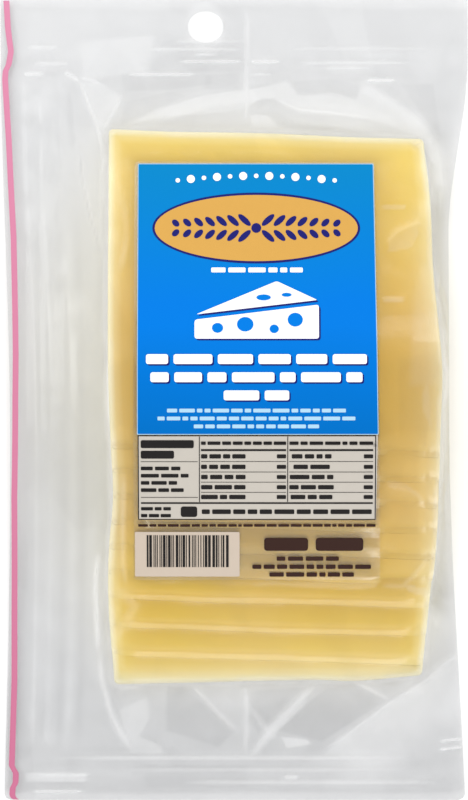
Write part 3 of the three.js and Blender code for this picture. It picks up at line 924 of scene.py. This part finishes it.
def front_shape(x, y):
    """Height of the front film, its white haze with painted highlights, and its tone with painted light and
    shade.
    """
    height, haze_and_highlight, tone = creased(x, y)
    base, floor = sample(front_map, x, y), sample(film_floor, x, y)
    calm = 1 - ease(1.5 - label_distance(x, y) / 3)
    on_cheese = sample(stack_share, x, y)
    haze_and_highlight = np.maximum(haze_and_highlight, STACK_RIM_HAZE * 4 * on_cheese * (1 - on_cheese))
    seal = ease((np.abs(y + 2) - 108) / 6)
    crumple = np.abs(field_noise(x, y, 13.0, 3.1)) * 0.5 + field_noise(x, y, 30.0, 8.4) * 0.6
    loose_side = ease((x - 40) / 10) * ease((y + 70) / 40)
    crumple = CRUMPLE * crumple * (1 - (0.6 - 0.15 * loose_side) * on_cheese) * (1 - 0.6 * seal)
    relief = height + crumple + ZIP_RISE * zip_profile(x, y)
    z = base + calm * relief * ease(rim_distance(x, y) / RIM_CALM)
    lowest = np.maximum(floor, sample(back_map, x, y) + 2 * FILM_GAP)
    # Painted shade near the open edges, besides the zip's bands.
    tone += zip_tone(x, y) * (1 - on_cheese) + LEAK_SHADE * light_leak(x, y)
    return np.maximum(z, lowest), haze_and_highlight * calm, np.clip(tone / DULLEST, 0, 1)

# %% [markdown]
# Both sheets are shaped, and then bridged along the rim and round the hang hole, so that the skin is
# closed. The bag and its contents together take the place of the CAD solid.

# %% Film bag
FRONT_SHEEN, BACK_SHEEN = 0.7, 0.2


def make_film():
    bm = bmesh.new()
    layers = [bm.verts.layers.float.new(name) for name in ("haze_and_highlight", "tone", "sheen")]
    front = add_sheet(bm, FRONT_CELLS)
    back = add_sheet(bm, BACK_CELLS)
    x, y = flat_places(back)
    # The back sheet gets the same painted shade near the open edges and towards the bottom.
    dull_and_shade = np.clip((base_tone(y) + LEAK_SHADE * light_leak(x, y)) / DULLEST, 0, 1)
    back_shape = sample(back_map, x, y), np.zeros(len(x)), dull_and_shade
    for sheet, shape, sheen in ((front, front_shape(*flat_places(front)), FRONT_SHEEN),
                                (back, back_shape, BACK_SHEEN)):
        for vert, height, haze_and_highlight, tone in zip(sheet, *shape):
            vert.co.z = float(height)
            for layer, value in zip(layers, (haze_and_highlight, tone, sheen)):
                vert[layer] = float(value)
    rims = [e for e in bm.edges if e.is_boundary]
    at_hole = [e for e in rims if hole_reach(e.verts[0].co) < 1.1]
    at_edge = [e for e in rims if hole_reach(e.verts[0].co) > 1.1]
    for loop in (at_hole, at_edge):
        joined = bmesh.ops.bridge_loops(bm, edges=loop)["faces"]
        for edge in {e for f in joined for e in f.edges}:
            edge.smooth = False  # a sealed rim is sharp, and stays sharp in the shading
    bmesh.ops.recalc_face_normals(bm, faces=bm.faces)
    print("film closed:", all(e.is_manifold for e in bm.edges), "with", len(bm.faces), "faces")
    return as_piece(bm, "film_bag", clear_film)


film = make_film()
for piece in (film, *slices):
    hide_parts("bag")

# %% [markdown]
# Print. The label is clear foil stuck on the film, with its print on top in a few flat inks. It is a
# plain design: a gold plaque with leaves, a wedge of cheese with holes, rows of bars in place of words,
# a table of facts and a bar code of random bars. Each ink is one mesh of many thin plates. They are drawn
# flat, cut in cells so that they can bend, thickened, and then laid on the film's height map.

# %% Drawing in flat shapes
LABEL_CELL = 3.0


def bar(bm, left, right, low, high, corner=0.0):
    made = bmesh.ops.create_grid(bm, x_segments=1, y_segments=1, size=0.5)["verts"]
    bmesh.ops.scale(bm, vec=(right - left, high - low, 1), verts=made)
    bmesh.ops.translate(bm, vec=((left + right) / 2, (low + high) / 2, 0), verts=made)
    if corner:
        bmesh.ops.bevel(bm, geom=made, offset=corner, segments=3, profile=0.5,
                        affect="VERTICES", material=-1)


def disc(bm, x, y, radius_x, radius_y, segments=32, turn=0.0):
    made = bmesh.ops.create_circle(bm, cap_ends=True, segments=segments, radius=1.0)["verts"]
    shape = Matrix.Translation((x, y, 0)) @ Matrix.Rotation(turn, 4, "Z") \
        @ Matrix.Diagonal((radius_x, radius_y, 1, 1))
    bmesh.ops.transform(bm, matrix=shape, verts=made)


def outline(bm, corners, corner=0.0):
    """A flat shape with these corners, each of them rounded."""
    made = bmesh.ops.create_circle(bm, cap_ends=True, segments=len(corners), radius=1.0)["verts"]
    for vert, (x, y) in zip(made, corners):
        vert.co = (x, y, 0)
    if corner:
        bmesh.ops.bevel(bm, geom=made, offset=corner, segments=4, profile=0.5,
                        affect="VERTICES", material=-1)


def words(bm, left, right, middle, height, draw, gap=0.55, centred=True):
    """A row of bars of random lengths, in place of a line of words."""
    lengths = []
    while sum(lengths) + len(lengths) * gap * height < right - left - 1.6 * height:
        lengths.append(height * draw.uniform(1.4, 4.6))
    total = sum(lengths) + (len(lengths) - 1) * gap * height
    shrink = (right - left) / total if total > right - left or not centred else 1.0
    x = (left + right - total * shrink) / 2
    for length in lengths:
        bar(bm, x, x + length * shrink, middle - height / 2, middle + height / 2, 0.22 * height)
        x += (length + gap * height) * shrink


def lay(bm, name, material, lift, thickness, cell=LABEL_CELL):
    """Thickens flat shapes and lays them on the film, that far above it."""
    x, y, z = places(bm).T
    marks = [np.arange(math.ceil(v.min() / cell) * cell, v.max(), cell) for v in (x, y)]
    cut_in_cells(bm, *marks)
    made = bmesh.ops.extrude_face_region(bm, geom=bm.faces[:])["geom"]
    upper = {item for item in made if isinstance(item, bmesh.types.BMVert)}
    x, y, z = places(bm).T
    rest = film_height(x, y)
    for vert, height in zip(bm.verts, rest):
        vert.co.z = float(height) + lift + (thickness if vert in upper else 0.0)
    bmesh.ops.recalc_face_normals(bm, faces=bm.faces)
    print(name, len(bm.faces), "faces, closed:", all(e.is_manifold for e in bm.edges))
    return as_piece(bm, name, material, smooth=False)


def film_height(x, y):
    return front_shape(x, y)[0]

# %% [markdown]
# Inks are plain glossy paints under clear foil. The blue field darkens and brightens a little down its
# length, as its print does, which a gradient on the Object coordinate's Y gives. The foil itself is
# clear: it only greys what lies under it a trace, and mirrors the lights as film does.

# %% Inks
INK_ROUGHNESS, INK_SHINE, BLUE_SHINE = 0.5, 0.15, 0.03


def ink(name, shade):
    finish = Finish(name)
    cloud = finish.noise(300.0, 3.0)
    duller = (*[v * 0.8 for v in shade[:3]], 1.0)
    tone = finish.mix(finish.span(cloud, 0.3, 0.7, 0.0, 0.1), shade, duller)
    return finish.paint(tone, INK_ROUGHNESS, INK_SHINE)


def blue_ink():
    finish = Finish("ink_blue")
    wavy = finish.span(finish.noise(22.0), 0.2, 0.8, -0.004, 0.004)
    wash = finish.maths("ADD", finish.up_the_pack(), wavy)
    upper = finish.mix(finish.span(wash, 0.03, 0.07, 0.0, 1.0), colour(0, 112, 205), colour(4, 122, 182))
    tone = finish.mix(finish.span(wash, -0.01, 0.022, 0.0, 1.0), colour(0, 99, 176), upper)
    return finish.paint(tone, INK_ROUGHNESS, BLUE_SHINE)


def foil_finish():
    finish = Finish("clear_foil")
    clear = finish.add("BsdfTransparent", Color=(0.986, 0.985, 0.982, 1.0))
    mirror = finish.add("BsdfGlossy", Color=(1.0, 1.0, 1.0, 1.0), Roughness=0.2)
    gloss = finish.add("Fresnel", IOR=1.45).outputs[0]
    return finish.shade(finish.blend(gloss, clear, mirror))


clear_foil = foil_finish()
ink_blue = blue_ink()
ink_white = ink("ink_white", colour(236, 238, 240))
ink_pale = ink("ink_pale", colour(160, 196, 218))
ink_gold = ink("ink_gold", colour(199, 152, 72))
ink_navy = ink("ink_navy", colour(8, 10, 100))
ink_black = ink("ink_black", colour(20, 17, 17))
ink_brown = ink("ink_brown", colour(46, 22, 14))
panel_grey = ink("panel_grey", colour(181, 175, 166))
code_cream = ink("code_cream", colour(186, 172, 157))

# %% [markdown]
# The foil and the three fields come first. The blue one has a fine pale outline, which is a second plate
# a little larger under it. The label widens a trace downwards, so its right edge isn't quite upright.

# %% Label fields
FIELD_LEFT, FIELD_TOP, FIELD_LOW = -29.2, 72.2, -10.3
PANEL_TOP, PANEL_LOW = -10.7, -36.5
FOIL_CORNERS = [(-30.6, -55.0), (44.6, -55.0), (43.0, 73.0), (-30.4, 73.0)]
CODE_CORNERS = [(-30.2, -53.9), (1.7, -53.9), (1.7, -40.2), (-30.2, -40.2)]
EDGING = 0.22


def field_right(y):
    return np.interp(y, (PANEL_LOW, FIELD_LOW, FIELD_TOP), (43.2, 43.6, 42.5))


def field(top, low, grow=0.0):
    """The corners of a field as wide as the label."""
    return [(FIELD_LEFT - grow, low - grow), (field_right(low) + grow, low - grow),
            (field_right(top) + grow, top + grow), (FIELD_LEFT - grow, top + grow)]


label = []
for name, corners, rounding, finish, lift, thickness in (
        ("label_foil", FOIL_CORNERS, 1.0, clear_foil, 0.05, 0.06),
        ("label_edging", field(FIELD_TOP, FIELD_LOW, EDGING), 0.3, ink_pale, 0.14, 0.04),
        ("label_blue", field(FIELD_TOP, FIELD_LOW), 0.3, ink_blue, 0.2, 0.04),
        ("label_facts_panel", field(PANEL_TOP, PANEL_LOW), 0.3, panel_grey, 0.15, 0.04),
        ("label_code_field", CODE_CORNERS, 0.3, code_cream, 0.15, 0.04)):
    shape = bmesh.new()
    outline(shape, corners, rounding)
    label.append(lay(shape, name, finish, lift, thickness))

# %% [markdown]
# The design at the top of the blue field is a row of little discs and a gold plaque with its leaves.

# %% Plaque and leaves
FIELD_MIDDLE = 6.8
PLAQUE_Y, PLAQUE_HALF_WIDTH, PLAQUE_HALF_HEIGHT = 52.5, 31.0, 10.2
gold, navy, white, leaves = (bmesh.new() for _ in range(4))
disc(navy, FIELD_MIDDLE, PLAQUE_Y, PLAQUE_HALF_WIDTH + 0.7, PLAQUE_HALF_HEIGHT + 0.7, 72)
disc(gold, FIELD_MIDDLE, PLAQUE_Y, PLAQUE_HALF_WIDTH, PLAQUE_HALF_HEIGHT, 72)
for step in range(13):
    reach = (step - 6) / 6
    size = 1.25 if step % 2 else 0.7
    disc(white, FIELD_MIDDLE + 24 * reach, 68.6 - 1.4 * reach * reach, size, size, 20)
for side in (-1, 1):
    for step in range(7):
        x = FIELD_MIDDLE + side * (3.6 + 3.5 * step)
        size = 2.5 - 0.2 * step
        for half in (-1, 1):
            disc(leaves, x, PLAQUE_Y + half * (1.5 + 0.16 * (6 - step)), size, 0.9, 20, side * half * 0.75)
disc(leaves, FIELD_MIDDLE, PLAQUE_Y, 1.5, 1.5, 24)
print("plaque", 2 * PLAQUE_HALF_WIDTH, "by", 2 * PLAQUE_HALF_HEIGHT, "mm")

# %% [markdown]
# Below the plaque come the wedge of cheese and rows of white bars. The wedge and the bars each lie over a
# navy copy that is set down and to the right, which reads as a printed shadow.

# %% Wedge and rows of bars
LARGE_ROWS = (12.4, 6.9, 1.4)
SMALL_ROWS = (-3.2, -5.6, -8.0)
WEDGE = [(-12.0, 18.6), (25.8, 18.6), (25.8, 29.0), (-12.0, 24.4)]
WEDGE_TOP = [(-11.6, 26.0), (25.4, 30.4), (13.0, 36.2)]
WEDGE_HOLES = [(-5.0, 21.9, 1.7, 1.5), (3.4, 23.0, 2.5, 2.2), (12.2, 21.6, 1.4, 1.3),
               (18.6, 24.4, 2.3, 2.1), (9.0, 31.2, 2.2, 0.9), (16.0, 32.0, 1.5, 0.6)]
WEDGE_SHADOW, BAR_SHADOW = 0.5, 0.45

shadow, top_blue, pale = (bmesh.new() for _ in range(3))
for corners, rounding in ((WEDGE, 0.8), (WEDGE_TOP, 0.6)):
    outline(white, corners, rounding)
    outline(shadow, [(x + WEDGE_SHADOW, y - WEDGE_SHADOW) for x, y in corners], rounding)
for x, y, radius_x, radius_y in WEDGE_HOLES:
    disc(top_blue, x, y, radius_x, radius_y, 28)

draw = random.Random(12)
words(white, -8.0, 22.0, 39.6, 1.5, draw)
for reach, row in zip((33.5, 32.5, 13.0), LARGE_ROWS):
    state = draw.getstate()
    words(white, FIELD_MIDDLE - reach, FIELD_MIDDLE + reach, row, 3.0, draw)
    draw.setstate(state)
    left, right = FIELD_MIDDLE - reach + BAR_SHADOW, FIELD_MIDDLE + reach + BAR_SHADOW
    words(shadow, left, right, row - BAR_SHADOW, 3.0, draw)
for reach, row in zip((28.0, 30.0, 19.0), SMALL_ROWS):
    words(pale, FIELD_MIDDLE - reach, FIELD_MIDDLE + reach, row, 1.15, draw)

INK_THICKNESS = 0.03
LOW_INK, MIDDLE_INK, TOP_INK = 0.28, 0.35, 0.42  # how far above the film each layer of ink lies
for shape, name, finish, lift in (
        (navy, "label_plaque_edge", ink_navy, LOW_INK), (gold, "label_plaque", ink_gold, MIDDLE_INK),
        (leaves, "label_leaves", ink_navy, TOP_INK), (shadow, "label_shadow", ink_navy, LOW_INK),
        (white, "label_white", ink_white, MIDDLE_INK),
        (top_blue, "label_wedge_holes", ink_blue, TOP_INK), (pale, "label_pale", ink_pale, LOW_INK)):
    label.append(lay(shape, name, finish, lift, INK_THICKNESS))

# %% [markdown]
# The table of facts is a black frame, rules and short bars. A frame is four bars, so that every shape
# stays a plain plate.

# %% Table of facts
RULE = 0.28
COLUMN_ONE, COLUMN_TWO = -10.5, 16.3
table_right = field_right(PANEL_LOW) - 0.1
INNER_LEFT, INNER_RIGHT = FIELD_LEFT + 0.9, table_right - 0.9

black = bmesh.new()
for low, high in ((PANEL_TOP - RULE, PANEL_TOP), (PANEL_LOW, PANEL_LOW + RULE)):
    bar(black, FIELD_LEFT, table_right, low, high)
for left in (FIELD_LEFT, table_right - RULE):
    bar(black, left, left + RULE, PANEL_LOW + RULE, PANEL_TOP - RULE)
for at in (COLUMN_ONE, COLUMN_TWO):
    bar(black, at - 0.12, at + 0.12, -31.0, PANEL_TOP - RULE - 0.1)
for left, right in ((COLUMN_ONE + 0.5, COLUMN_TWO - 0.5), (COLUMN_TWO + 0.5, INNER_RIGHT)):
    bar(black, left, right, -15.5, -14.9)
    words(black, left, right, -13.1, 1.0, draw, centred=False)
    for row in (-17.1, -20.3, -23.4, -26.5, -29.5):
        words(black, left, left + 13.5, row, 1.3, draw)
        bar(black, right - 2.8, right, row - 0.6, row + 0.6, 0.25)
        if row > -29:
            bar(black, left, right, row - 1.65, row - 1.5)
bar(black, INNER_LEFT, INNER_RIGHT, -31.6, -31.1)
bar(black, INNER_LEFT, FIELD_LEFT + 17.0, -14.6, -12.2, 0.5)
bar(black, INNER_LEFT, FIELD_LEFT + 11.0, -17.8, -15.4, 0.5)
for row, reach in ((-20.8, 12.0), (-23.0, 14.5), (-25.2, 11.0), (-27.4, 13.0)):
    words(black, INNER_LEFT, INNER_LEFT + reach, row, 1.1, draw, centred=False)
for row in (-18.8, -29.7):
    bar(black, INNER_LEFT, COLUMN_ONE - 0.5, row, row + 0.15)
for row in (-33.1, -35.2):
    words(black, INNER_LEFT, FIELD_LEFT + 10.0, row, 1.0, draw, centred=False)
bar(black, FIELD_LEFT + 13.0, FIELD_LEFT + 18.0, -35.6, -32.4, 0.7)
words(black, COLUMN_ONE + 0.7, table_right - 1.2, -34.0, 1.4, draw, centred=False)

# %% [markdown]
# Below the table are a row of tiny bars, the bar code and the brown rows. The code's bars and gaps are
# drawn at random from a few widths, so it looks like a real one and stands for no number.

# %% Bar code and brown rows
CODE_BARS_LEFT, CODE_BARS_RIGHT, CODE_BARS_LOW, CODE_BARS_TOP = -26.6, -1.6, -51.0, -41.2
BAR_WIDTHS, GAP_WIDTHS = (0.26, 0.26, 0.52, 0.78), (0.26, 0.26, 0.52)

brown = bmesh.new()
words(brown, FIELD_LEFT, table_right, -38.2, 0.8, draw, centred=False)
bar_code = random.Random(7)
x = CODE_BARS_LEFT
while x < CODE_BARS_RIGHT:
    width = bar_code.choice(BAR_WIDTHS)
    bar(black, x, x + width, CODE_BARS_LOW, CODE_BARS_TOP)
    x += width + bar_code.choice(GAP_WIDTHS)
words(brown, 9.2, 39.4, -44.0, 4.0, draw, centred=False)
for left, right, row in ((13.0, 32.0, -48.4), (5.6, 41.8, -50.9), (10.8, 36.6, -53.3)):
    words(brown, left, right, row, 1.3, draw, centred=False)
label.append(lay(black, "label_black", ink_black, 0.26, INK_THICKNESS))
label.append(lay(brown, "label_brown", ink_brown, 0.18, INK_THICKNESS))
for piece in label:
    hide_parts("label")

# %% [markdown]
# A pink line runs down the left edge, where the zip's opening is marked. It is a narrow tape that
# follows the bag's edge, with a sideways jog where the seals pull the film at each end.

# %% Pink line
STRIP_HALF_WIDTH = 0.9
STRIP_ROWS = 420
STRIP_BENDS = (-122.8, -119, -117.5, -114.5, -112.3, -86, -67, -30, 0,
               15, 50, 80, 98.5, 101, 103, 107, 114, 122.8)
STRIP_INSETS = (2.2, 2.5, 3.3, 3.3, 2.0, 2.15, 1.75, 1.3, 1.7,
                2.1, 2.55, 2.05, 1.3, 1.5, 2.5, 3.2, 2.3, 1.8)
STRIP_LIFT, STRIP_THICKNESS, STRIP_END_GAP = 0.06, 0.08, 0.2
UNCUT = 300.0  # its own rows are fine enough, so no cell is cut into it


def strip_middle(y):
    return left_edge(y) + np.interp(y, STRIP_BENDS, STRIP_INSETS)


def pink_finish():
    """Pink tape, a little paler towards the top."""
    finish = Finish("pink")
    upwards = finish.span(finish.up_the_pack(), -0.12, 0.12, 0.0, 1.0)
    tone = finish.mix(upwards, colour(184, 104, 134), colour(202, 128, 156))
    return finish.paint(tone, 0.45, INK_SHINE)


strip = bmesh.new()
made = bmesh.ops.create_grid(strip, x_segments=2, y_segments=STRIP_ROWS, size=1.0)["verts"]
across, along = flat_places(made)
strip_y = along * (PACK_HEIGHT / 2 - STRIP_END_GAP)
for vert, spot in zip(made, zip(strip_middle(strip_y) + STRIP_HALF_WIDTH * across, strip_y)):
    vert.co = (*spot, 0.0)
pink_tape = lay(strip, "pink_tape", pink_finish(), STRIP_LIFT, STRIP_THICKNESS, UNCUT)
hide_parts("colour_strip")

# %% [markdown]
# The floor is plain pale paper. Four large soft boxes stand round the pack, the strongest beyond its top
# and its bottom, and the surroundings are an even white, as in a picture made for a shop.

# %% Stage and light
FLOOR_HALF_SIZE, FLOOR_DROP = 1500.0, 0.0003


def stage_floor():
    bm = bmesh.new()
    bmesh.ops.create_grid(bm, x_segments=1, y_segments=1, size=FLOOR_HALF_SIZE)
    finish = Finish("floor_paper")
    tone = finish.mix(finish.noise(3.0), (0.86, 0.86, 0.86, 1.0), (0.9, 0.9, 0.9, 1.0))
    floor = in_scene(bm, "floor", finish.shade(finish.add("BsdfDiffuse", Color=tone)))
    floor.location.z = -FLOOR_DROP


def softbox(name, place, size, power):
    light = bpy.data.lights.new(name, "AREA")
    light.shape = "RECTANGLE"
    light.size, light.size_y = size
    light.energy = power
    lamp = bpy.data.objects.new(name, light)
    lamp.location = place
    lamp.rotation_mode = "QUATERNION"
    lamp.rotation_quaternion = (-Vector(place)).to_track_quat("-Z", "Y")
    bpy.context.scene.collection.objects.link(lamp)


stage_floor()
softbox("softbox_top", (-0.1, 0.95, 0.95), (0.9, 0.4), 5.4)
softbox("softbox_bottom", (0.15, -0.95, 0.9), (0.9, 0.3), 4.6)
softbox("softbox_left", (-1.0, 0.1, 0.85), (0.35, 0.9), 3.2)
softbox("softbox_right", (1.05, -0.15, 0.8), (0.3, 0.8), 2.2)
world = bpy.data.worlds.new("studio")
bpy.context.scene.world = world
world.use_nodes = True
surroundings = world.node_tree.nodes["Background"].inputs
surroundings["Color"].default_value = (1.0, 1.0, 1.0, 1.0)
surroundings["Strength"].default_value = 0.88
bpy.context.scene.view_settings.view_transform = "Standard"
